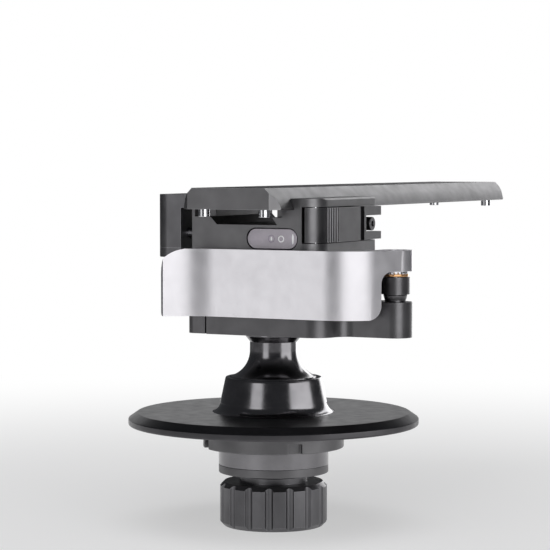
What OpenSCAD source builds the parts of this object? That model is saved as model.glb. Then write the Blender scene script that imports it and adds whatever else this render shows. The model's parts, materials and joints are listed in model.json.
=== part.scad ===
/* [Tripod seat] */
// Diameter of the seat disc over its rim
disc_d = 103; // [96:1:112]
// Thickness of the seat disc
disc_t = 4.5; // [4:0.1:6]
// Diameter of the circle of tapped holes under the disc
seat_pcd = 80; // [70:1:86]
// Diameter of the spigot under the disc
spigot_d = 50; // [46:1:56]

/* [Ball and socket] */
// Diameter of the ball
ball_d = 31.8; // [31.4:0.1:32]
// Height of the ball's centre over the seat plane
ball_z = 11.8; // [11.6:0.1:12]
// Diameter of the neck above the ball
neck_d = 16.8; // [14:0.2:18]
// Diameter of the grip of the lock knob
knob_d = 38; // [34:1:44]

/* [Clamp] */
// Height of the underside of the clamp over the seat plane
clamp_z = 33; // [32:0.5:36]
// Length of the clamp along the rail
clamp_len = 44; // [42:1:50]
// Width of the rail that the jaws hold
rail_w = 38; // [37.8:0.1:38.1]
// Length of the dovetail rail
rail_len = 210; // [150:5:260]

/* [Lever] */
// Wall thickness of the lever
lever_t = 3; // [2.6:0.1:3.2]
// Throw of the eccentric that pulls the jaw
cam_throw = 1; // [0.6:0.1:1]

/* [Hidden] */

$fn = 96;
eps = 0.01;            // lets a cut run past a face
run = 0.08;            // radial clearance of a running fit
ball_r = ball_d / 2;

// Seat and socket, heights over the seat plane
rim_r = disc_d / 2;
bevel = 2.2;
rim_z = disc_t - bevel;
collar_top = 16.8;
spigot_r = 19.5;
bore_r = 16.95;
spigot_bottom = -14;
cap_bottom = -17;
plug_top = -13;
flange_top = -11;
cup_bottom = -9.6;
cup_top = 1.2;
thread_top = -5;
screw_r = 5;
thread_r = 4;
knob_top = cap_bottom - 0.3;
knob_bottom = -36;
liner_z0 = 9;
liner_z1 = 14.6;
seat_hole_r = 1.65;
neck_r = neck_d / 2;
flare_z = -15.9;       // edge of the neck's flare, under the clamp
flare_r = sqrt(pow(ball_r, 2) - pow(flare_z + clamp_z - ball_z, 2));
flare_arc = [9.64, -6.75];  // radius of the concave arc and the height of its centre

// Clamp, heights over the underside of the clamp
half = clamp_len / 2;
base_top = 12.2;
seat_z = 43.7;         // floor that the rail lies on
channel_z = 38.3;
notch_z = 41;
body_top = 47.5;
body_x0 = -20.7;
body_x1 = 28.5;
body_corner = 7.5;
body_back = 24.8;      // the body runs past the base at the back
notch_deep = 4;        // the notches under the rail are pockets in the front face
bolt_r = 3;
bolt_head_r = 5;
key_r = 2.4;
jaw_x0 = -36;
jaw_x1 = -25.2;
jaw_z0 = 29.8;
jaw_top = 48.6;
plate_z0 = 26.5;
leg_z0 = 13;
grip_x = rail_w / 2;   // half width across the foot of the dovetail
grip_in = 1.4;         // how far the dovetail leans in over its height
grip_top = 47.3;
guide = [15.5, 35];    // distance from the middle and height of the guide rods
guide_r = 1.75;
rod = [-5.2, 17.7];    // y and height of the pull rod
rod_r = 2.5;
pivot = [49.6, -5.2];
boss_r = 5.8;
bush_r = 3.6;
shaft_r = 2.5;
stud_r = 1.6;
cam_r = 2.7;
cam_rest = 40;         // angle of the eccentric with the lever closed
cam_swing = 100;       // turn of the lever from closed to open
strap = [14.85, 20.65];
strap_r = 4.95;
washer_z = [20.9, 21.8, 22.75];

// Level in the front face
level = [10.7, 33.6];
plug_x = [2, 6.8];     // ends of the plug in the level
vial_x1 = 18.6;
level_long = 19.8;
level_high = 7.5;
level_deep = 5.8;

// Safety catch on the right side
catch_z = [32.4, 44.3];
catch_pivot = [24.8, -17.2];
catch_x = 30;
catch_in = 26;
catch_nose = 7.2;
corner = [body_x1 - body_corner, -half + body_corner];
fork_z = [35.2, 41];
stop_pin = [18.6, 38]; // y and height
stop_pin_r = 2.42;
pin_r = 1.2;

// Rail
rail_z = 43.75;
rail_top = 51.1;
rail_y0 = -34;
rail_chamfer = 3.2;
stop_x = 11.7;
stop_r = 2;
stop_in = 4.5;
rail_hole_r = 2.75;
rail_holes = [41, 101];

// Lever
lever_z = [6.5, 29.9];
arm_z = 22.8;
face_y = -26.2;        // outer face of the straight part
flare = [-8, 26, 43.5]; // where the flare starts, its radius and its angle
bend = [31.6, 19.9, 55]; // where the bend starts, its radius and its angle
flat_len = 11.2;
plate_len = 2.3;
eye_r = 5.9;

black = [0.1, 0.1, 0.11];
dark = [0.2, 0.2, 0.21];
silver = [0.76, 0.75, 0.78];
steel = [0.7, 0.7, 0.72];
bronze = [0.72, 0.48, 0.3];

module at_clamp() translate([0, 0, clamp_z]) children();

// A cylinder from height z0 to z1
module rod_z(r, z0, z1, x = 0, y = 0) translate([x, y, z0]) cylinder(r = r, h = z1 - z0);

// A cylinder along X from x0 to x1
module rod_x(r, x0, x1, y, z) translate([x0, y, z]) rotate([0, 90, 0]) cylinder(r = r, h = x1 - x0);

// A box between two corners
module block(a, b) translate(a) cube(b - a);

// A screw put in from below: head at the bottom, shank up
module screw_up(x, y, z0, z1, r, head_r, head_h) {
    rod_z(head_r, z0, z0 + head_h, x, y);
    rod_z(r, z0, z1, x, y);
}

// A slot with round ends along X, its outline in X and Z, cut from y0 to y1
module obround_y(c, long, high, y0, y1)
    translate([c[0], y1, c[1]]) rotate([90, 0, 0]) linear_extrude(y1 - y0) {
        for (s = [-1, 1]) translate([s * (long - high) / 2, 0]) circle(d = high);
        square([long - high, high], center = true);
    }

module seat_disc() color(black) difference() {
    rotate_extrude() polygon([[spigot_r, 0], [rim_r - 0.4, 0], [rim_r, 0.4], [rim_r, rim_z],
        [rim_r - 3.2, disc_t], [spigot_r, disc_t]]);
    for (k = [0:2]) rotate(k * 120) rod_z(seat_hole_r, -1, disc_t - 1.2, seat_pcd / 2);
}

module socket_collar() color(black) difference() {
    rotate_extrude() difference() {
        union() {
            polygon([[0, disc_t], [22, disc_t], [22, disc_t + 0.3], [18.8, 8.1], [17.05, 16.4],
                [16.65, collar_top], [0, collar_top]]);
            translate([0, spigot_bottom]) square([spigot_r, disc_t - spigot_bottom]);
        }
        translate([22.6, 8.1]) circle(r = 3.7);
    }
    rod_z(bore_r, spigot_bottom - 1, liner_z1 + 0.1);
    translate([0, 0, ball_z]) sphere(r = ball_r + 0.3);
    rod_x(1.2, bore_r - 1, spigot_r - 0.6, 0, cup_bottom + 4);
}

module disc_ring_nut() color(dark) difference() {
    rod_z(spigot_d / 2, -8, 0);
    rod_z(spigot_r, -9, 1);
    for (k = [0:3]) rotate(45 + k * 90) block([spigot_d / 2 - 2, -2.5, -9], [spigot_d, 2.5, -4.5]);
}

module socket_cap() color(dark) difference() {
    union() {
        rod_z(spigot_r, cap_bottom, spigot_bottom);
        rod_z(bore_r - 0.02, spigot_bottom, plug_top);
    }
    rod_z(screw_r + run, cap_bottom - 1, 0);
    for (k = [0:2]) rotate(k * 120) rod_z(1.6, cap_bottom - 1, cap_bottom + 1.5, 13.5);
}

module cup_key() color(steel) rod_x(1.2, 15, spigot_r - 0.6, 0, cup_bottom + 4);

module pressure_cup() color(steel) difference() {
    rod_z(bore_r - run, cup_bottom, cup_top);
    translate([0, 0, ball_z]) sphere(r = ball_r + run);
    rod_z(thread_r + run, cup_bottom - 1, 0);
    block([14.6, -1.35, cup_bottom - 1], [18, 1.35, cup_bottom + 7]);
}

module lock_screw() color(steel) {
    rod_z(thread_r, flange_top, thread_top);
    rod_z(8, plug_top + 0.1, flange_top);
    rod_z(screw_r, -31, plug_top + 0.1);
}

module lock_knob() color(black) difference() {
    rotate_extrude() difference() {
        polygon([[screw_r, knob_top], [11, knob_top], [12, knob_top - 1], [12, knob_top - 3],
            [knob_d / 2 - 1.5, knob_top - 3], [knob_d / 2, knob_top - 4.5],
            [knob_d / 2, knob_bottom + 1.5], [knob_d / 2 - 1.5, knob_bottom], [screw_r, knob_bottom]]);
        translate([0, -31.6]) square([screw_r, 0.6]);
    }
    rod_z(7, knob_bottom - 1, -33.4);
    for (k = [0:15]) rotate(k * 22.5) rod_z(1.6, knob_bottom - 1, knob_top - 3 + eps, knob_d / 2 + 0.5);
}

module knob_screw() color(steel) difference() {
    union() {
        rod_z(6.5, -35.4, -33.4);
        rod_z(screw_r, -33.4, -31);
    }
    translate([0, 0, -36]) cylinder(r = 2.3, h = 2, $fn = 6);
}

module socket_liner() color([0.85, 0.84, 0.8]) difference() {
    rod_z(bore_r - run, liner_z0, liner_z1);
    translate([0, 0, ball_z]) sphere(r = ball_r + run);
}

// The ball is cut off level with the edge of the flare, and a concave arc leads up to the neck
module ball_stem() color(black) difference() {
    at_clamp() rotate_extrude() {
        intersection() {
            translate([0, ball_z - clamp_z]) circle(r = ball_r);
            translate([0, -40]) square([20, 40 + flare_z]);
        }
        difference() {
            polygon([[0, flare_z - 1], [flare_r, flare_z - 1], [flare_r, flare_z], [flare_r, flare_arc[1]],
                [neck_r, flare_arc[1]], [neck_r, -3.6], [10.1, -1.5], [10.1, -0.6], [0, -0.6]]);
            translate([neck_r + flare_arc[0], flare_arc[1]]) circle(r = flare_arc[0]);
        }
    }
    at_clamp() rod_z(bolt_r, -14, 0);
}

module pan_washer() color(dark) at_clamp() difference() {
    rod_z(9.7, -0.6, -0.05);
    rod_z(bolt_r, -1, 1);
}

module clamp_bolt() color(steel) at_clamp() difference() {
    union() {
        rod_z(bolt_r, -13.5, 4.3);
        rod_z(bolt_head_r, 4.3, 10);
    }
    translate([0, 0, 7]) cylinder(r = 2.7, h = 4, $fn = 6);
}

// Plan of the lower plate: a block with round corners and an ear with a round boss
module base_outline() {
    side = [23.5, 8];
    ear = pivot[1];
    fillet = 5.4;
    translate([-14.8, -half - 0.5]) square([side[0] + 14.8, clamp_len + 0.5]);
    translate([-15.9, 2 - half]) square([2, clamp_len - 4]);
    for (s = [-1, 1]) {
        y = s < 0 ? -half - 0.5 + side[1] : half - side[1];
        translate([side[0], y]) circle(r = side[1]);
    }
    translate([side[0], -half - 0.5 + side[1]]) square([side[1], clamp_len + 0.5 - 2 * side[1]]);
    translate([side[0], ear - boss_r]) square([pivot[0] - side[0], 2 * boss_r]);
    translate(pivot) circle(r = boss_r);
    // The hollow corner in front of the ear is tangent to the round corner and to the ear
    c = [side[0], -half - 0.5 + side[1]];
    fy = ear - boss_r - fillet;
    fx = c[0] + sqrt(pow(side[1] + fillet, 2) - pow(fy - c[1], 2));
    difference() {
        polygon([c, [fx, fy], [fx, ear], [c[0], ear]]);
        translate([fx, fy]) circle(r = fillet);
    }
    difference() {
        translate([side[0], ear]) square([side[1] + fillet, boss_r + fillet]);
        translate([side[0] + side[1] + fillet, ear + boss_r + fillet]) circle(r = fillet);
    }
}

screw_places = [[-9.5, -16], [-9.5, 16], [20, -12.5], [20, 12.5]];

module clamp_base() color(black) at_clamp() difference() {
    linear_extrude(base_top) base_outline();
    rod_z(bolt_r + run, -1, base_top + 1);
    rod_z(bolt_head_r + 0.1, 4.2, base_top + 1);
    rod_z(bush_r, 0.8, base_top + 1, pivot[0], pivot[1]);
    for (p = screw_places) {
        rod_z(2.1, -1, base_top + 1, p[0], p[1]);
        rod_z(3.6, -1, 4, p[0], p[1]);
    }
    for (s = [-1, 1]) rod_x(1.25, -16, -7, s * 10, 6);
}

module base_end_cap() color(black) at_clamp() difference() {
    linear_extrude(base_top - 0.1) union() {
        for (s = [-1, 1]) translate([-20.4, s * (half - 3.5)]) circle(r = 3);
        translate([-20.4, 0.5 - half]) square([4.5, clamp_len - 1]);
        translate([-23.4, 3.5 - half]) square([4, clamp_len - 7]);
    }
    for (s = [-1, 1]) {
        rod_x(1.35, -24, -15, s * 10, 6);
        rod_x(2.4, -24, -20.9, s * 10, 6);
    }
}

module end_cap_screws() color(steel) at_clamp() for (s = [-1, 1]) difference() {
    union() {
        rod_x(1.25, -21, -7.5, s * 10, 6);
        rod_x(2.3, -23.2, -20.9, s * 10, 6);
    }
    translate([-23.5, s * 10, 6]) rotate([0, 90, 0]) cylinder(r = 1.2, h = 1.6, $fn = 6);
}

// Sections of the two sides of the seat over the channel's floor: a ledge, and the fixed dovetail jaw
module ledge_section() polygon([[body_x0, channel_z], [-10.7, channel_z], [-13.3, notch_z],
    [-13.3, seat_z], [body_x0, seat_z]]);

module fixed_jaw_section() polygon([[12.7, channel_z], [body_x1, channel_z], [body_x1, body_top - 0.6],
    [body_x1 - 0.6, body_top], [grip_x + 0.2 - grip_in, body_top], [grip_x + 0.2 - grip_in, grip_top],
    [grip_x + 0.2, seat_z], [10.7, seat_z], [10.7, notch_z]]);

module body_outline() {
    translate(corner) circle(r = body_corner);
    translate([body_x0, -half]) square([corner[0] - body_x0, body_back + half]);
    translate([body_x0, corner[1]]) square([body_x1 - body_x0, body_back - 1.2 - corner[1]]);
    translate([body_x0, corner[1]]) square([body_x1 - body_x0 - 1.2, body_back - corner[1]]);
    translate([body_x1 - 1.2, body_back - 1.2]) circle(r = 1.2);
}

// Room for the catch: round the front corner, along the side and out at the back
module catch_room() {
    z0 = catch_z[0] - 0.25;
    z1 = catch_z[1] + 0.25;
    block([22, -half - 1, z0], [body_x1 + 2, -9.4, z1]);
    block([catch_in - 0.35, -9.5, z0], [body_x1 + 2, body_back + 1, z1]);
    block([22, 12.4, z0], [body_x1 + 2, body_back + 1, z1]);
}

// Holes of the catch, which go through both halves of the body
module catch_holes() {
    catch_room();
    rod_z(pin_r, 28, body_top - 0.8, catch_pivot[0], catch_pivot[1]);
    rod_x(stop_pin_r, 14.5, 23, stop_pin[0], stop_pin[1]);
}

module clamp_body() color(dark) at_clamp() difference() {
    translate([0, 0, base_top]) linear_extrude(channel_z - base_top) body_outline();
    obround_y(level, level_long, level_high, -half - 1, level_deep - half);
    catch_holes();
    rod_z(key_r, base_top - 1, channel_z + 1);
    for (s = [-1, 1]) rod_x(guide_r, body_x0 - 1, -3, s * guide[0], guide[1]);
    rod_x(rod_r + 0.25, body_x0 - 1, body_x1 + 1, rod[0], rod[1]);
    rod_x(4.2, body_x0 - 1, -14, rod[0], rod[1]);
    for (p = screw_places) rod_z(2, base_top - 1, base_top + 10, p[0], p[1]);
}

module seat_jaw() color(dark) at_clamp() difference() {
    intersection() {
        translate([0, body_back + 1, 0]) rotate([90, 0, 0]) linear_extrude(body_back + half + 2) {
            ledge_section();
            fixed_jaw_section();
        }
        translate([0, 0, channel_z - 1]) linear_extrude(body_top) body_outline();
    }
    catch_holes();
    block([-19.5, -half - 1, notch_z], [-12.8, notch_deep - half, seat_z + 1]);
    block([10.2, -half - 1, notch_z], [14.45, notch_deep - half, seat_z + 1]);
}

module body_screws() color(steel) at_clamp() for (p = screw_places) difference() {
    screw_up(p[0], p[1], 0.2, base_top + 9.5, 2, 3.5, 3.8);
    translate([p[0], p[1], -1]) cylinder(r = 1.7, h = 3, $fn = 6);
}

module guide_rods() color(steel) at_clamp()
    for (s = [-1, 1]) rod_x(guide_r, -34, -3, s * guide[0], guide[1]);

module level_vial() color([0.8, 0.75, 0.82, 0.5]) at_clamp() difference() {
    obround_y(level, level_long - 0.7, level_high - 0.7, -half + 0.3, level_deep - half);
    rod_x(2.45, plug_x[0], plug_x[1] + 0.2, 3 - half, level[1]);
    rod_x(2.2, plug_x[1] + 0.1, vial_x1, 3 - half, level[1]);
}

module vial_liquid() color([0.75, 0.7, 0.8, 0.5]) at_clamp()
    rod_x(2.2, plug_x[1], vial_x1, 3 - half, level[1]);

module vial_plug() color(silver) at_clamp() rod_x(2.45, plug_x[0], plug_x[1], 3 - half, level[1]);

module pivot_bush() color(dark) at_clamp() translate([pivot[0], pivot[1], 0])
    rotate_extrude() polygon([[shaft_r + run, 0.8], [bush_r, 0.8], [bush_r, base_top], [bush_r, 12.6],
        [4.1, 14.4], [4.1, 14.75], [shaft_r + run, 14.75]]);

module catch_hinge_pin() color(steel) at_clamp()
    rod_z(pin_r, 28, body_top - 0.8, catch_pivot[0], catch_pivot[1]);

module catch_spring() color(steel) at_clamp() translate([catch_pivot[0], catch_pivot[1], 0])
    for (k = [0:5]) translate([0, 0, 36.2 + k * 0.62]) rotate_extrude() translate([1.75, 0]) circle(r = 0.3, $fn = 16);

module catch_stop_pin() color(black) at_clamp() difference() {
    rod_x(stop_pin_r, 14.5, catch_x, stop_pin[0], stop_pin[1]);
    rod_x(1, catch_x - 1.2, catch_x + 1, stop_pin[0], stop_pin[1]);
}

// The nose is round the body's corner, the plate lies on the side, and the fork straddles the stop pin
module safety_catch() color(black) at_clamp() difference() {
    union() {
        intersection() {
            translate([0, 0, catch_z[0]]) linear_extrude(catch_z[1] - catch_z[0]) union() {
                translate(corner) circle(r = catch_nose);
                translate([20, corner[1]]) square([8.2, 10]);
            }
            block([23, -half, catch_z[0]], [catch_x, -9.8, catch_z[1]]);
        }
        block([catch_in, -9.9, catch_z[0]], [catch_x, 8.5, catch_z[1]]);
        for (k = [0:4]) rod_z(0.75, catch_z[0], catch_z[1], 28.15 + k * 0.34, -14.2 + k * 1.15);
        block([catch_in, 8.4, catch_z[0]], [28.2, 12, catch_z[1]]);
        for (z = [[catch_z[0] + 0.1, fork_z[0]], [fork_z[1], catch_z[1] - 0.1]])
            block([catch_in + 0.2, 11.7, z[0]], [catch_x, 25.8, z[1]]);
        block([catch_in, 11.7, catch_z[0]], [catch_x, 13.2, catch_z[1]]);
    }
    rod_z(pin_r + run, catch_z[0] - 1, catch_z[1] + 1, catch_pivot[0], catch_pivot[1]);
    rod_z(2.2, 35.7, 39.9, catch_pivot[0], catch_pivot[1]);
}

module jaw_section() polygon([[jaw_x0, jaw_z0], [jaw_x1, jaw_z0], [jaw_x1, seat_z + 0.2],
    [-grip_x - 0.2, seat_z + 0.2], [-grip_x - 0.2 + grip_in, grip_top], [-grip_x - 0.2 + grip_in, jaw_top],
    [jaw_x0 + 1.2, jaw_top], [jaw_x0, jaw_top - 1.2]]);

module jaw_outline(r) {
    for (s = [-1, 1]) translate([jaw_x0 + r, s * (half - r)]) circle(r = r);
    translate([jaw_x0 + r, -half]) square([30, clamp_len]);
    translate([jaw_x0, r - half]) square([30, clamp_len - 2 * r]);
}

module moving_jaw() color(black) at_clamp() difference() {
    intersection() {
        translate([0, half, 0]) rotate([90, 0, 0]) linear_extrude(clamp_len) jaw_section();
        translate([0, 0, jaw_z0 - 1]) linear_extrude(30) jaw_outline(5.5);
    }
    for (s = [-1, 1]) rod_x(guide_r + run, -34.2, jaw_x1 + 1, s * guide[0], guide[1]);
    for (s = [-1, 1]) rod_z(1.5, jaw_z0 - 1, jaw_z0 + 8, -30.6, s * 8);
}

module jaw_plate() color(black) at_clamp() difference() {
    union() {
        intersection() {
            block([jaw_x0, -half, plate_z0], [jaw_x1, half, jaw_z0]);
            translate([0, 0, plate_z0]) linear_extrude(4) jaw_outline(5.5);
            translate([0, half, 0]) rotate([90, 0, 0]) linear_extrude(clamp_len) union() {
                translate([jaw_x0, plate_z0 + 1.8]) square([12, 3]);
                translate([jaw_x0 + 1.8, plate_z0]) square([12, 3]);
                translate([jaw_x0 + 1.8, plate_z0 + 1.8]) circle(r = 1.8);
            }
        }
        block([-31.5, rod[0] - 8, leg_z0], [jaw_x1, rod[0] + 8, plate_z0 + eps]);
    }
    rod_x(rod_r, -40, jaw_x1 + 1, rod[0], rod[1]);
    for (s = [-1, 1]) {
        rod_z(1.5, leg_z0 - 1, jaw_z0 + 1, -30.6, s * 8);
        rod_z(2.6, leg_z0 - 1, jaw_z0 - 1.6, -30.6, s * 8);
    }
}

module jaw_screws() color(steel) at_clamp() for (s = [-1, 1])
    screw_up(-30.6, s * 8, jaw_z0 - 4.1, jaw_z0 + 7.5, 1.5, 2.5, 2.5);

module pull_rod() color(black) at_clamp() difference() {
    union() {
        rod_x(rod_r, -35, pivot[0] - strap_r + 1.2, rod[0], rod[1]);
        rod_z(strap_r, strap[0], strap[1], pivot[0], pivot[1]);
    }
    // The eccentric works in a slot that is long across the rod
    for (y = [0.4, 1.15]) rod_z(cam_r + 0.15, strap[0] - 1, strap[1] + 1, pivot[0] + cam_throw * cos(cam_rest), pivot[1] + y);
    translate([pivot[0] + cam_throw * cos(cam_rest) - cam_r - 0.15, pivot[1] + 0.4, strap[0] - 1])
        cube([2 * cam_r + 0.3, 0.75, strap[1] - strap[0] + 2]);
}

module rod_nut() color(steel) at_clamp() difference() {
    translate([-34.7, rod[0], rod[1]]) rotate([0, 90, 0]) cylinder(r = 4.4, h = 3.2, $fn = 6);
    rod_x(rod_r, -36, -30, rod[0], rod[1]);
}

// A coil spring round the pull rod, as one tube swept along a helix
module jaw_spring() {
    turns = 5;
    per_turn = 16;
    sides = 6;
    wire = 0.42;
    coil = 3.35;
    x0 = -14.5;
    span = jaw_x1 + 0.5 - x0;
    n = turns * per_turn;
    pts = [for (k = [0:n], s = [0:sides - 1]) let (a = 360 * k / per_turn, b = 360 * s / sides,
        r = coil + wire * cos(b)) [x0 + span * k / n + wire * sin(b), r * cos(a), r * sin(a)]];
    walls = [for (k = [0:n - 1], s = [0:sides - 1]) let (a = k * sides + s,
        b = k * sides + (s + 1) % sides) [a, b, b + sides, a + sides]];
    caps = [[for (s = [sides - 1:-1:0]) s], [for (s = [0:sides - 1]) n * sides + s]];
    color(steel) at_clamp() translate([0, rod[0], rod[1]]) polyhedron(pts, concat(walls, caps));
}

bend_c = [bend[0], face_y + bend[1]];
flat_a = bend[2] - 90;   // direction that the flat part of the lever faces
flat_0 = bend_c + bend[1] * [cos(flat_a), sin(flat_a)];

function arc(c, r, a0, a1, n) = [for (k = [0:n]) c + r * [cos(a0 + (a1 - a0) * k / n), sin(a0 + (a1 - a0) * k / n)]];

// One face of the lever in plan, d in from the outer face, from the tip to the end of the flat part
function lever_face(d) = concat(arc([flare[0], face_y - flare[1]], flare[1] + d, 90 + flare[2], 90, 14),
    arc(bend_c, bend[1] - d, -90, flat_a, 12),
    [flat_0 - d * [cos(flat_a), sin(flat_a)] + flat_len * [-sin(flat_a), cos(flat_a)]]);

function backwards(v) = [for (k = [len(v) - 1:-1:0]) v[k]];

// What is cut away under the arm, as (length along the flat part, height)
function under_arm(low, fillet) = concat([[60, lever_z[0] - 1], [plate_len - low, lever_z[0] - 1]],
    arc([plate_len - low, lever_z[0] + low], low, -90, 0, 8),
    arc([plate_len + fillet, arm_z - fillet], fillet, 180, 90, 8), [[60, arm_z]]);

// Elevation of the lever seen from the front: a large round corner at the tip, a small one below
function tip_elevation(x, big, small) = concat([[60, lever_z[0] - 1], [x + small, lever_z[0] - 1]],
    arc([x + small, lever_z[0] + small], small, -90, -180, 4),
    arc([x + big, lever_z[1] - big], big, 180, 90, 12), [[60, lever_z[1] + 1]]);

// The bent plate with its round corners at the tip and the arm cut free below
module lever_plate() difference() {
    translate([0, 0, lever_z[0]]) linear_extrude(lever_z[1] - lever_z[0])
        polygon(concat(lever_face(0), backwards(lever_face(lever_t))));
    rotate([90, 0, 0]) linear_extrude(60) difference() {
        translate([-60, lever_z[0] - 2]) square([40, lever_z[1] - lever_z[0] + 4]);
        polygon(tip_elevation(-27.9, 9, 1.2));
    }
    translate([flat_0[0], flat_0[1], 0]) rotate(flat_a + 90) translate([0, lever_t + 1, 0])
        rotate([90, 0, 0]) linear_extrude(20) polygon(under_arm(5, 4));
}

module lever() color(silver) at_clamp() difference() {
    union() {
        lever_plate();
        rod_z(eye_r, arm_z - 0.05, lever_z[1], pivot[0], pivot[1]);
        translate([0, 0, arm_z + 0.3]) linear_extrude(lever_z[1] - arm_z - 0.3)
            polygon([[38, -22.9], flat_0 - [1, 0], pivot + 4 * [cos(flat_a), sin(flat_a)],
                pivot + (eye_r - 0.2) * [cos(flat_a + 180), sin(flat_a + 180)]]);
    }
    rod_z(stud_r, arm_z - 1, lever_z[1] + 1, pivot[0], pivot[1]);
    rod_z(3.4, lever_z[1] - 1.6, lever_z[1] + 1, pivot[0], pivot[1]);
}

module cam_shaft() color(steel) at_clamp() translate([pivot[0], pivot[1], 0]) {
    rod_z(shaft_r, 1, 14.6);
    rod_z(stud_r, 14.5, lever_z[1] - 1.6);
    translate(cam_throw * [cos(cam_rest), sin(cam_rest), 0]) rod_z(cam_r, strap[0], strap[1]);
}

module bronze_washer() color(bronze) at_clamp() difference() {
    rod_z(4.5, washer_z[0], washer_z[1], pivot[0], pivot[1]);
    rod_z(stud_r, 20, 23, pivot[0], pivot[1]);
}

module serrated_ring() color(steel) at_clamp() translate([pivot[0], pivot[1], 0]) difference() {
    rod_z(4.4, washer_z[1], washer_z[2]);
    rod_z(stud_r, 20, 23);
    for (k = [0:19]) rotate(k * 18) block([3, -0.25, washer_z[1] - 1], [6, 0.25, washer_z[2] - 0.3]);
}

module cam_cap() color(steel) at_clamp() difference() {
    rod_z(3.35, lever_z[1] - 1.6, lever_z[1] - 0.2, pivot[0], pivot[1]);
    translate([pivot[0], pivot[1], lever_z[1] - 1]) cylinder(r = 1.5, h = 2, $fn = 6);
}

module rail_section() polygon([[-grip_x + 0.45, rail_z], [grip_x - 0.45, rail_z], [grip_x - 0.05, rail_z + 0.45],
    [grip_x + 0.12 - grip_in, grip_top + 0.1], [14.1, rail_top], [-14.1, rail_top],
    [-grip_x - 0.12 + grip_in, grip_top + 0.1], [-grip_x + 0.05, rail_z + 0.45]]);

module rail_outline() {
    y1 = rail_y0 + rail_len;
    polygon([[-grip_x, rail_y0 + rail_chamfer], [rail_chamfer - grip_x, rail_y0],
        [grip_x - rail_chamfer, rail_y0], [grip_x, rail_y0 + rail_chamfer], [grip_x, y1 - rail_chamfer],
        [grip_x - rail_chamfer, y1], [rail_chamfer - grip_x, y1], [-grip_x, y1 - rail_chamfer]]);
}

stop_ys = [rail_y0 + stop_in, rail_y0 + rail_len - stop_in];

module slide_rail() color(dark) at_clamp() difference() {
    intersection() {
        translate([0, rail_y0 + rail_len, 0]) rotate([90, 0, 0]) linear_extrude(rail_len) rail_section();
        translate([0, 0, rail_z - 1]) linear_extrude(10) rail_outline();
    }
    for (x = [-stop_x, stop_x], y = stop_ys) rod_z(stop_r, rail_z - 1, rail_z + 4, x, y);
    for (y = rail_holes) {
        rod_z(rail_hole_r, rail_z - 1, rail_top + 1, 0, y);
        rod_z(5, rail_z - 1, rail_z + 3.4, 0, y);
    }
}

module stop_pins() color(steel) at_clamp()
    for (x = [-stop_x, stop_x], y = stop_ys) rod_z(stop_r, notch_z + 0.1, rail_z + 4, x, y);

seat_disc();
socket_collar();
disc_ring_nut();
socket_cap();
cup_key();
pressure_cup();
lock_screw();
lock_knob();
knob_screw();
socket_liner();
ball_stem();
pan_washer();
clamp_bolt();
clamp_base();
base_end_cap();
end_cap_screws();
clamp_body();
seat_jaw();
body_screws();
guide_rods();
level_vial();
vial_liquid();
vial_plug();
pivot_bush();
catch_hinge_pin();
catch_spring();
catch_stop_pin();
safety_catch();
moving_jaw();
jaw_plate();
jaw_screws();
pull_rod();
rod_nut();
jaw_spring();
lever();
cam_shaft();
bronze_washer();
serrated_ring();
cam_cap();
slide_rail();
stop_pins();
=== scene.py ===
"""A lever clamp on a ball head with a flat seat, and the dovetail rail that it holds.

Lengths that end in _MM are in millimetres; everything handed to Blender is in metres.
"""

import json
import math

import bmesh
import bpy
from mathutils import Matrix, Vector

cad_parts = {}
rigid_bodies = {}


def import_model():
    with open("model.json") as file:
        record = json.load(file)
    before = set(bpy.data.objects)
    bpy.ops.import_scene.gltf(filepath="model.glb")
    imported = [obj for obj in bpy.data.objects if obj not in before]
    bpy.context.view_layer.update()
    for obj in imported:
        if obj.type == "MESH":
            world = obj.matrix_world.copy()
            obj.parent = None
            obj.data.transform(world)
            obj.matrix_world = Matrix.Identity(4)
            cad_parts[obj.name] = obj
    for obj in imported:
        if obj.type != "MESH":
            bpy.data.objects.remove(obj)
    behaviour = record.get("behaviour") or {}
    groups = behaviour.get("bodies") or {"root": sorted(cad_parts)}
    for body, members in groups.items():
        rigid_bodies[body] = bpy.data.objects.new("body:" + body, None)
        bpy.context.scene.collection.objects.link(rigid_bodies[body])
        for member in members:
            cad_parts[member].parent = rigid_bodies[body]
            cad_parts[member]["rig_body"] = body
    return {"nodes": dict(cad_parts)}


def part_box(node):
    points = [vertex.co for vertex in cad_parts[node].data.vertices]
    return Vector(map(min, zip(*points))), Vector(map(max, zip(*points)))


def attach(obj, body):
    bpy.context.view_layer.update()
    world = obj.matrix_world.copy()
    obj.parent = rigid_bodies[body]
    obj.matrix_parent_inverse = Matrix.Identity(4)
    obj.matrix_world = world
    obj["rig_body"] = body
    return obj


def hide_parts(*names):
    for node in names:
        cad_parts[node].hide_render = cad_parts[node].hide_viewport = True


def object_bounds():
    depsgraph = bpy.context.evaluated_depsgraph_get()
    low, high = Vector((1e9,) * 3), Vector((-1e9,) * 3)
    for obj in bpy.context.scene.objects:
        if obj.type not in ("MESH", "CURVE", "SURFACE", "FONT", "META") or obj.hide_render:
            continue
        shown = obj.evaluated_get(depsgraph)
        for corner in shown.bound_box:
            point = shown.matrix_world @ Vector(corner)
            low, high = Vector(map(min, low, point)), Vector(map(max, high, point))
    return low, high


MM = 0.001
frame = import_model()
cad_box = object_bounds()
nodes = frame["nodes"]


# ---------------------------------------------------------------- camera and stage

CAMERA_AZIMUTH = 27.3
BACKDROP = 1.0
FLOOR_RADIUS = 0.6
DOME_RADIUS = 4


def make_camera():
    data = bpy.data.cameras.new("camera")
    data.lens, data.sensor_width = 144.85, 36
    camera = bpy.data.objects.new("camera", data)
    camera.location = (0.3595, -0.6954, 0.0950)
    camera.rotation_euler = (math.radians(86.92), 0, math.radians(CAMERA_AZIMUTH))
    bpy.context.scene.collection.objects.link(camera)
    bpy.context.scene.camera = camera


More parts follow.
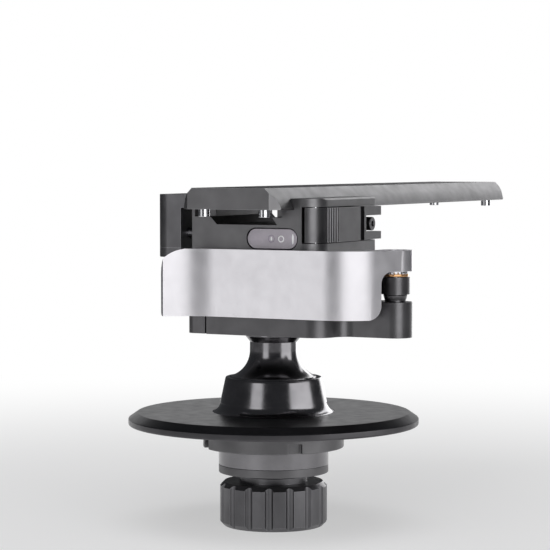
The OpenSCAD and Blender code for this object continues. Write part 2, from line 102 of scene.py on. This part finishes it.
def emitting(name, strength, colour=(1, 1, 1)):
    material = bpy.data.materials.new(name)
    material.use_nodes = True
    tree = material.node_tree
    tree.nodes.clear()
    out = tree.nodes.new("ShaderNodeOutputMaterial")
    glow = tree.nodes.new("ShaderNodeEmission")
    glow.inputs["Strength"].default_value = strength
    glow.inputs["Color"].default_value = (*colour, 1)
    tree.links.new(glow.outputs[0], out.inputs["Surface"])
    return material


def floor_material(radius):
    """Pale matt floor that brightens outwards until it is as white as the backdrop."""
    material = bpy.data.materials.new("floor")
    material.use_nodes = True
    tree = material.node_tree
    shader = tree.nodes["Principled BSDF"]
    shader.inputs["Base Color"].default_value = (0.86, 0.86, 0.87, 1)
    shader.inputs["Roughness"].default_value = 0.75
    place = tree.nodes.new("ShaderNodeTexCoord")
    length = tree.nodes.new("ShaderNodeVectorMath")
    length.operation = "LENGTH"
    fade = tree.nodes.new("ShaderNodeMapRange")
    fade.interpolation_type = "SMOOTHSTEP"
    fade.inputs["From Min"].default_value = radius * 0.12
    fade.inputs["From Max"].default_value = radius * 0.9
    glow = tree.nodes.new("ShaderNodeEmission")
    glow.inputs["Strength"].default_value = BACKDROP
    mix = tree.nodes.new("ShaderNodeMixShader")
    inner = tree.nodes.new("ShaderNodeMapRange")
    inner.inputs["To Min"].default_value = 0.5
    tree.links.new(place.outputs["Object"], length.inputs[0])
    tree.links.new(length.outputs["Value"], fade.inputs["Value"])
    tree.links.new(fade.outputs[0], inner.inputs["Value"])
    tree.links.new(inner.outputs[0], mix.inputs["Fac"])
    tree.links.new(shader.outputs[0], mix.inputs[1])
    tree.links.new(glow.outputs[0], mix.inputs[2])
    tree.links.new(mix.outputs[0], tree.nodes["Material Output"].inputs["Surface"])
    return material


def make_stage():
    low = cad_box[0].z
    bm = bmesh.new()
    bmesh.ops.create_circle(bm, cap_ends=True, segments=128, radius=FLOOR_RADIUS)
    floor = mesh_object("floor", bm, floor_material(FLOOR_RADIUS))
    floor.location.z = low
    bm = bmesh.new()
    bmesh.ops.create_icosphere(bm, subdivisions=5, radius=DOME_RADIUS)
    dome = mesh_object("backdrop", bm, emitting("backdrop", BACKDROP))
    dome.visible_glossy = dome.visible_diffuse = dome.visible_shadow = False


def mesh_object(name, bm, material=None):
    data = bpy.data.meshes.new(name)
    bm.to_mesh(data)
    bm.free()
    for polygon in data.polygons:
        polygon.use_smooth = True
    obj = bpy.data.objects.new(name, data)
    if material:
        data.materials.append(material)
    bpy.context.scene.collection.objects.link(obj)
    return obj


def softbox(name, azimuth, distance, width, height, radiance, z=0.3):
    """A rectangular light that stands at that angle from the camera's own, to the right of it."""
    a = math.radians(CAMERA_AZIMUTH + azimuth)
    data = bpy.data.lights.new(name, "AREA")
    data.shape, data.size, data.size_y = "RECTANGLE", width, height
    data.energy = radiance * math.pi * width * height
    light = bpy.data.objects.new(name, data)
    light.location = (distance * math.sin(a), -distance * math.cos(a), z)
    aim = Vector((0, 0, 0.05)) - light.location
    light.rotation_euler = aim.to_track_quat("-Z", "Y").to_euler()
    light.visible_camera = False
    bpy.context.scene.collection.objects.link(light)
    return light


def only_on(light, receivers):
    group = bpy.data.collections.new("lit_by_" + light.name)
    for obj in receivers:
        group.objects.link(obj)
    light.light_linking.receiver_collection = group


# ---------------------------------------------------------------- materials


def bare(name):
    material = bpy.data.materials.new(name)
    material.use_nodes = True
    tree = material.node_tree
    return material, tree, tree.nodes["Principled BSDF"]


def noise(tree, scale, detail=3.0):
    """Noise over the object's own coordinates, in blobs per metre."""
    place = tree.nodes.new("ShaderNodeTexCoord")
    texture = tree.nodes.new("ShaderNodeTexNoise")
    texture.inputs["Scale"].default_value = scale
    texture.inputs["Detail"].default_value = detail
    tree.links.new(place.outputs["Object"], texture.inputs["Vector"])
    return texture.outputs["Fac"]


def spread(tree, value, low, high, start=0.3, stop=0.7):
    node = tree.nodes.new("ShaderNodeMapRange")
    node.inputs["From Min"].default_value = start
    node.inputs["From Max"].default_value = stop
    node.inputs["To Min"].default_value = low
    node.inputs["To Max"].default_value = high
    tree.links.new(value, node.inputs["Value"])
    return node.outputs[0]


def edge_mask(tree, reach):
    """1 on edges and corners, 0 on open faces: how far a rounded normal leans from the true one."""
    rounded = tree.nodes.new("ShaderNodeBevel")
    rounded.samples = 6
    rounded.inputs["Radius"].default_value = reach
    geometry = tree.nodes.new("ShaderNodeNewGeometry")
    dot = tree.nodes.new("ShaderNodeVectorMath")
    dot.operation = "DOT_PRODUCT"
    tree.links.new(rounded.outputs[0], dot.inputs[0])
    tree.links.new(geometry.outputs["Normal"], dot.inputs[1])
    return spread(tree, dot.outputs["Value"], 1, 0, 0.9, 0.995)


def mixed_colour(tree, factor, a, b):
    node = tree.nodes.new("ShaderNodeMix")
    node.data_type = "RGBA"
    for socket, value in ((node.inputs[6], a), (node.inputs[7], b)):
        if isinstance(value, bpy.types.NodeSocket):
            tree.links.new(value, socket)
        else:
            socket.default_value = (*value, 1)
    tree.links.new(factor, node.inputs[0])
    return node.outputs[2]


def scaled(colour, k):
    return tuple(min(1.0, c * k) for c in colour)


def metal(name, colour, rough, metallic=1.0, grain=2600, depth=0.000006, rings=0, edge_highlight=0.0,
          blotch=0.12, uneven=0.04, coat=0.0):
    """Machined or blasted metal: mottled colour, uneven roughness, fine grain and paler edges, a painted
    highlight on edges and corners.
    """
    material, tree, shader = bare(name)
    shader.inputs["Metallic"].default_value = metallic
    shader.inputs["Coat Weight"].default_value = coat
    shader.inputs["Coat Roughness"].default_value = 0.12
    tone = spread(tree, noise(tree, 90, 4), 0, 1)
    colour_out = mixed_colour(tree, tone, scaled(colour, 1 - blotch), scaled(colour, 1 + blotch))
    # Edges and corners are painted paler here: a painted highlight along them.
    if edge_highlight:
        colour_out = mixed_colour(tree, edge_mask(tree, 0.0004), colour_out, scaled(colour, 1 + edge_highlight))
    tree.links.new(colour_out, shader.inputs["Base Color"])
    rough_out = spread(tree, noise(tree, 240, 5), rough - uneven, rough + uneven)
    tree.links.new(rough_out, shader.inputs["Roughness"])
    bump = tree.nodes.new("ShaderNodeBump")
    bump.inputs["Strength"].default_value = 0.6
    bump.inputs["Distance"].default_value = depth
    tree.links.new(noise(tree, grain, 2), bump.inputs["Height"])
    normal = bump.outputs["Normal"]
    if rings:
        turned = tree.nodes.new("ShaderNodeTexWave")
        turned.wave_type, turned.rings_direction = "RINGS", "Z"
        turned.inputs["Scale"].default_value = rings
        turned.inputs["Distortion"].default_value = 0.3
        place = tree.nodes.new("ShaderNodeTexCoord")
        tree.links.new(place.outputs["Object"], turned.inputs["Vector"])
        second = tree.nodes.new("ShaderNodeBump")
        second.inputs["Strength"].default_value = 0.35
        second.inputs["Distance"].default_value = 0.000006
        tree.links.new(turned.outputs["Fac"], second.inputs["Height"])
        tree.links.new(normal, second.inputs["Normal"])
        normal = second.outputs["Normal"]
    tree.links.new(normal, shader.inputs["Normal"])
    return material


def plastic(name, colour, rough, transmission=0.0, ior=1.49, grain=1500, depth=0.000004, coat=0.0):
    material, tree, shader = bare(name)
    tone = spread(tree, noise(tree, 160, 3), 0, 1)
    mottled = mixed_colour(tree, tone, scaled(colour, 0.9), scaled(colour, 1.08))
    tree.links.new(mottled, shader.inputs["Base Color"])
    tree.links.new(spread(tree, noise(tree, 300, 4), rough * 0.8, rough * 1.2), shader.inputs["Roughness"])
    shader.inputs["Transmission Weight"].default_value = transmission
    shader.inputs["IOR"].default_value = ior
    shader.inputs["Coat Weight"].default_value = coat
    bump = tree.nodes.new("ShaderNodeBump")
    bump.inputs["Strength"].default_value = 0.4
    bump.inputs["Distance"].default_value = depth
    tree.links.new(noise(tree, grain, 2), bump.inputs["Height"])
    tree.links.new(bump.outputs["Normal"], shader.inputs["Normal"])
    return material


def make_materials():
    return {
        "disc": metal("disc_satin_black", (0.09, 0.088, 0.093), 0.34, rings=900, edge_highlight=0.8),
        "gloss": metal("gloss_black", (0.22, 0.215, 0.225), 0.2, grain=1400, depth=0.000003, edge_highlight=0.4, coat=0.2),
        "base": metal("base_black", (0.12, 0.118, 0.123), 0.36, grain=2000, depth=0.000004, edge_highlight=0.6),
        "black": metal("black_anodised", (0.15, 0.148, 0.155), 0.38, edge_highlight=0.9),
        "dark": metal("dark_anodised", (0.165, 0.163, 0.168), 0.42, depth=0.000009, edge_highlight=0.9),
        # The body has no painted edge highlight, which would draw the seam between its two halves
        "body": metal("body_anodised", (0.165, 0.163, 0.168), 0.42, depth=0.000009),
        "silver": metal("silver_satin", (0.78, 0.765, 0.795), 0.33, grain=3200, depth=0.000008,
                        blotch=0.03, uneven=0.03, edge_highlight=0.15),
        "steel": metal("bright_steel", (0.72, 0.72, 0.74), 0.2, grain=1800, edge_highlight=0.1, blotch=0.05),
        "black_steel": metal("black_steel", (0.09, 0.09, 0.1), 0.28, edge_highlight=1.2),
        "bronze": metal("bronze", (0.83, 0.47, 0.22), 0.24, blotch=0.1, edge_highlight=0.2),
        "liner": plastic("liner", (0.8, 0.79, 0.75), 0.45),
        "washer": plastic("washer_plastic", (0.03, 0.03, 0.032), 0.4),
        "acrylic": plastic("tinted_acrylic", (0.62, 0.565, 0.64), 0.12, 0.45, coat=0.6),
        "liquid": plastic("spirit", (0.5, 0.45, 0.54), 0.08, 0.6, ior=1.36),
        # White for the printed ring, also used for the painted glint and painted highlight on the level
        "white_print_and_highlight": plastic("white_print_and_highlight", (0.92, 0.92, 0.93), 0.3),
    }


# ---------------------------------------------------------------- mesh helpers


def rounded(points, radii, steps=6):
    """The outline with each corner that has a radius turned into an arc."""
    out, count = [], len(points)
    for i, corner in enumerate(points):
        r = radii.get(i, 0)
        if not r:
            out.append(tuple(corner))
            continue
        p = Vector(corner)
        u = (Vector(points[i - 1]) - p).normalized()
        v = (Vector(points[(i + 1) % count]) - p).normalized()
        half = u.angle(v) / 2
        middle = p + (u + v).normalized() * (r / math.sin(half))
        start = p + u * (r / math.tan(half)) - middle
        stop = p + v * (r / math.tan(half)) - middle
        a0 = math.atan2(start.y, start.x)
        turn = math.atan2(stop.y, stop.x) - a0
        turn = (turn + math.pi) % (2 * math.pi) - math.pi
        for k in range(steps + 1):
            a = a0 + turn * k / steps
            out.append((middle.x + r * math.cos(a), middle.y + r * math.sin(a)))
    return out


def arc(x, y, r, a0, a1, steps):
    """Points of an arc, angles in degrees."""
    turn = [math.radians(a0 + (a1 - a0) * k / steps) for k in range(steps + 1)]
    return [(x + r * math.cos(a), y + r * math.sin(a)) for a in turn]


def lathe(name, outline, material, segments=144, closed=True):
    """Turns an outline of (radius, height) in millimetres about the Z axis."""
    bm = bmesh.new()
    rings = []
    for r, z in outline:
        rings.append([
            bm.verts.new((r * MM * math.cos(t), r * MM * math.sin(t), z * MM))
            for t in (2 * math.pi * k / segments for k in range(segments))
        ])
    pairs = list(zip(rings, rings[1:] + rings[:1]))
    for a, b in pairs if closed else pairs[:-1]:
        for k in range(segments):
            n = (k + 1) % segments
            bm.faces.new((a[k], a[n], b[n], b[k]))
    bmesh.ops.remove_doubles(bm, verts=bm.verts, dist=1e-7)
    bmesh.ops.recalc_face_normals(bm, faces=bm.faces)
    obj = mesh_object(name, bm, material)
    soften(obj)
    return obj


def soften(obj, angle=35):
    """Smooth shading that keeps the true hard edges."""
    obj.data.set_sharp_from_angle(angle=math.radians(angle))
    weighted = obj.modifiers.new("weighted", "WEIGHTED_NORMAL")
    weighted.keep_sharp = True
    weighted.weight = 60


def refined(node, material, width_mm=0.3, segments=3, angle=32):
    """A clean copy of a CAD node with its edges really rounded. It stands for the node.

    Edges in the seam between the two halves of the body stay sharp, so that the seam can't be seen.
    """
    bm = bmesh.new()
    bm.from_mesh(nodes[node].data)
    bmesh.ops.remove_doubles(bm, verts=bm.verts, dist=3e-6)
    bmesh.ops.dissolve_limit(bm, angle_limit=math.radians(0.5), verts=bm.verts, edges=bm.edges)
    limit = math.radians(angle)
    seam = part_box("clamp_body")[1].z
    sharp = [e for e in bm.edges if len(e.link_faces) == 2 and e.calc_face_angle(0) > limit
             and not all(abs(v.co.z - seam) < 0.01 * MM for v in e.verts)]
    bmesh.ops.bevel(bm, geom=sharp, offset=width_mm * MM, offset_type="OFFSET", segments=segments,
                    profile=0.5, affect="EDGES", clamp_overlap=True, loop_slide=True)
    bmesh.ops.recalc_face_normals(bm, faces=bm.faces)
    for edge in bm.edges:
        edge.smooth = True
    piece = mesh_object(node + "_finished", bm, material)
    for name in ("custom_normal", "sharp_edge", "sharp_face"):
        if name in piece.data.attributes:
            piece.data.attributes.remove(piece.data.attributes[name])
    soften(piece, 50)
    return stand_for(piece, node)


def stand_for(piece, *replaced):
    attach(piece, nodes[replaced[0]]["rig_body"])
    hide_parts(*replaced)
    return piece


def tube(name, path, radius, material, sides=12):
    """A closed-ended tube swept along points in metres."""
    bm = bmesh.new()
    rings = []
    normal = Vector((0, 0, 1))
    for i, p in enumerate(path):
        ahead = (path[min(i + 1, len(path) - 1)] - path[max(i - 1, 0)]).normalized()
        side = ahead.cross(normal).normalized()
        up = side.cross(ahead)
        normal = up
        rings.append([
            bm.verts.new(p + radius * (math.cos(t) * side + math.sin(t) * up))
            for t in (2 * math.pi * k / sides for k in range(sides))
        ])
    for a, b in zip(rings, rings[1:]):
        for k in range(sides):
            bm.faces.new((a[k], a[(k + 1) % sides], b[(k + 1) % sides], b[k]))
    bm.faces.new(rings[0])
    bm.faces.new(rings[-1][::-1])
    bmesh.ops.recalc_face_normals(bm, faces=bm.faces)
    obj = mesh_object(name, bm, material)
    soften(obj)
    return obj


# ---------------------------------------------------------------- turned parts

CLAMP_Z_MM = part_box("clamp_base")[0].z / MM
BALL_R_MM = 15.9
BALL_Z_MM = 11.8
NECK_R_MM = 8.4
FLARE_Z_MM = CLAMP_Z_MM - 15.9
FLARE_ARC_MM = 9.64
FLARE_CENTRE_MM = CLAMP_Z_MM - 6.75


def make_ball_stem(material):
    top = CLAMP_Z_MM
    edge = math.degrees(math.asin((FLARE_Z_MM - BALL_Z_MM) / BALL_R_MM))
    ball = arc(0, BALL_Z_MM, BALL_R_MM, -90, edge, 40)
    lip = ball[-1]
    arc_x = NECK_R_MM + FLARE_ARC_MM
    start = math.degrees(math.atan2(lip[1] - FLARE_CENTRE_MM, lip[0] - arc_x))
    flare = arc(arc_x, FLARE_CENTRE_MM, FLARE_ARC_MM, start, -180, 26)[1:]
    head = rounded(
        [(NECK_R_MM, top - 3.6), (10.1, top - 1.5), (10.1, top - 0.6), (3, top - 0.6), (3, top - 14)],
        {0: 0.8, 1: 0.3, 2: 0.2})[:-1]
    outline = ball + flare + head + [(3, top - 14), (0.001, top - 14)]
    stem = lathe("ball_stem_turned", outline, material, closed=False)
    return stand_for(stem, "ball_stem")


def make_collar(material):
    """Tapered socket with a hollow lip down to the disc and a thin ring at its mouth."""
    inner_r = BALL_R_MM + 0.3
    mouth = 16.8
    lip = arc(22.6, 8.1, 3.7, 256.6, 180, 14)
    sphere = [(math.sqrt(inner_r**2 - (z - BALL_Z_MM) ** 2), z)
              for z in (mouth, 16.4, 16.0, 15.6, 15.2, 14.7)]
    cone = rounded([lip[-1], (17.2, 16.0), (16.95, mouth), sphere[0]], {1: 0.9, 2: 0.25})[1:-1]
    outline = (lip + cone + sphere + [(16.95, 14.7), (16.95, -14), (19.5, -14), (19.5, 4.5)])
    collar = lathe("socket_collar_turned", outline, material)
    return stand_for(collar, "socket_collar")


def make_spring(material):
    lo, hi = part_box("jaw_spring")
    wire = 0.42 * MM
    radius = (hi.z - lo.z) / 2 - wire
    middle = (lo + hi) / 2
    turns, per_turn = 5, 40
    path = []
    for k in range(turns * per_turn + 1):
        a = 2 * math.pi * k / per_turn
        x = hi.x - wire + (lo.x - hi.x + 2 * wire) * k / (turns * per_turn)
        path.append(Vector((x, middle.y + radius * math.cos(a), middle.z + radius * math.sin(a))))
    return stand_for(tube("jaw_spring_wound", path, wire, material), "jaw_spring")


# ---------------------------------------------------------------- level


def make_level(materials):
    """Marks on the face of the vial: a printed ring, the bubble's edge, a painted glint on the bubble and a
    painted highlight for the bright far end.
    """
    lo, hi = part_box("level_vial")
    middle = (lo + hi) / 2
    face = lo.y
    pieces = []

    def ring(name, x, radius, wire, material, high=1.0):
        path = [Vector((x + radius * math.cos(t), face, middle.z + high * radius * math.sin(t)))
                for t in (2 * math.pi * k / 48 for k in range(49))]
        bm = bmesh.new()
        loops = []
        for p in path[:-1]:
            out = (p - Vector((x, face, middle.z))).normalized()
            loops.append([bm.verts.new(p + wire * (math.cos(s) * out + math.sin(s) * 0.5 * Vector((0, 1, 0))))
                          for s in (2 * math.pi * k / 10 for k in range(10))])
        for a, b in zip(loops, loops[1:] + loops[:1]):
            for k in range(10):
                bm.faces.new((a[k], a[(k + 1) % 10], b[(k + 1) % 10], b[k]))
        bmesh.ops.recalc_face_normals(bm, faces=bm.faces)
        return mesh_object(name, bm, material)

    pieces.append(ring("level_ring", middle.x + 3.4 * MM, 0.95 * MM, 0.22 * MM, materials["white_print_and_highlight"], 1.06))
    pieces.append(ring("bubble_edge", middle.x - 0.35 * MM, 1.15 * MM, 0.12 * MM, materials["liquid"], 1.05))
    # The glint and the far-end bar are white paint that stands in for light: a painted glint and a painted
    # highlight.
    for name, x, wide, high in (("bubble_glint", -0.35, 0.35, 0.7), ("level_bar", 7.9, 0.36, 1.8)):
        bm = bmesh.new()
        bmesh.ops.create_uvsphere(bm, u_segments=24, v_segments=16, radius=1)
        bmesh.ops.scale(bm, vec=Vector((wide, 0.12, high)) * MM, verts=bm.verts)
        bmesh.ops.translate(bm, vec=Vector((middle.x + x * MM, face, middle.z)), verts=bm.verts)
        pieces.append(mesh_object(name, bm, materials["white_print_and_highlight"]))
    for piece in pieces:
        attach(piece, "clamp")
    return pieces


# ---------------------------------------------------------------- build

make_camera()
make_stage()
m = make_materials()

make_ball_stem(m["gloss"])
make_collar(m["gloss"])
make_spring(m["steel"])
make_level(m)

FINISHED = {
    "seat_disc": ("disc", 0.25),
    "disc_ring_nut": ("dark", 0.3),
    "socket_cap": ("dark", 0.3),
    "lock_knob": ("black", 0.4),
    "knob_screw": ("steel", 0.2),
    "clamp_base": ("base", 0.35),
    "base_end_cap": ("base", 0.3),
    "end_cap_screws": ("black_steel", 0.12),
    "clamp_body": ("body", 0.25),
    "seat_jaw": ("body", 0.25),
    "body_screws": ("black_steel", 0.15),
    "level_vial": ("acrylic", 0.3),
    "pivot_bush": ("base", 0.25),
    "catch_stop_pin": ("base", 0.25),
    "safety_catch": ("base", 0.22),
    "moving_jaw": ("black", 0.3),
    "jaw_plate": ("black", 0.25),
    "jaw_screws": ("black_steel", 0.12),
    "pull_rod": ("base", 0.35),
    "rod_nut": ("steel", 0.2),
    "lever": ("silver", 0.5),
    "bronze_washer": ("bronze", 0.2),
    "serrated_ring": ("steel", 0.08),
    "cam_cap": ("steel", 0.15),
    "slide_rail": ("dark", 0.25),
    "stop_pins": ("steel", 0.2),
}
KEPT = {
    "cup_key": "steel", "pressure_cup": "steel", "lock_screw": "steel", "socket_liner": "liner",
    "pan_washer": "washer", "clamp_bolt": "steel", "guide_rods": "steel", "vial_liquid": "liquid",
    "vial_plug": "steel", "catch_hinge_pin": "steel", "catch_spring": "steel", "cam_shaft": "steel",
}
for node, (material, width) in FINISHED.items():
    refined(node, m[material], width)
for node, material in KEPT.items():
    slots = nodes[node].data.materials
    slots.clear()
    slots.append(m[material])

pieces = [o for o in bpy.data.objects if o.get("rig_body") and o.type == "MESH"]
low_bodies = ("seat", "knob", "cup", "liner", "ball")
floor = bpy.data.objects["floor"]
disc = [o for o in pieces if o.name.startswith("seat_disc")]
stem = [o for o in pieces if o["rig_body"] in low_bodies and o not in disc]
bright = [o for o in pieces if o["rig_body"] == "lever"]
black = [o for o in pieces if o["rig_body"] not in (*low_bodies, "lever")]

# Each light is linked to the surfaces it shapes: the silver lever, the black clamp, the stem or the disc
FAR = 1.6
only_on(softbox("key", 17, FAR, 1.75, 1.8, 1.25), bright + [floor])
only_on(softbox("key_black", 24, FAR, 1.1, 1.8, 2.9), black)
only_on(softbox("fill_left", -54.6, FAR, 0.75, 1.8, 1.0), bright + black + [floor])
only_on(softbox("stem_left", -38, FAR, 0.75, 0.9, 1.6, z=0.16), stem)
only_on(softbox("stem_right", 66, FAR, 1.7, 1.1, 1.9, z=0.1), stem + disc)
only_on(softbox("disc_back", 180, FAR, 2.6, 0.9, 0.55), disc)
only_on(softbox("side", 124, FAR, 0.8, 1.8, 0.6), black)
only_on(softbox("rim_right", 155, FAR, 0.9, 1.8, 2.4), bright + black + stem)
only_on(softbox("top", 0, 0.4, 1.5, 1.5, 1.6, z=1.5), [floor])

world = bpy.data.worlds.new("studio")
world.use_nodes = True
world.node_tree.nodes["Background"].inputs["Color"].default_value = (0.9, 0.93, 1, 1)
world.node_tree.nodes["Background"].inputs["Strength"].default_value = 0.07
bpy.context.scene.world = world
bpy.context.scene.view_settings.view_transform = "Standard"
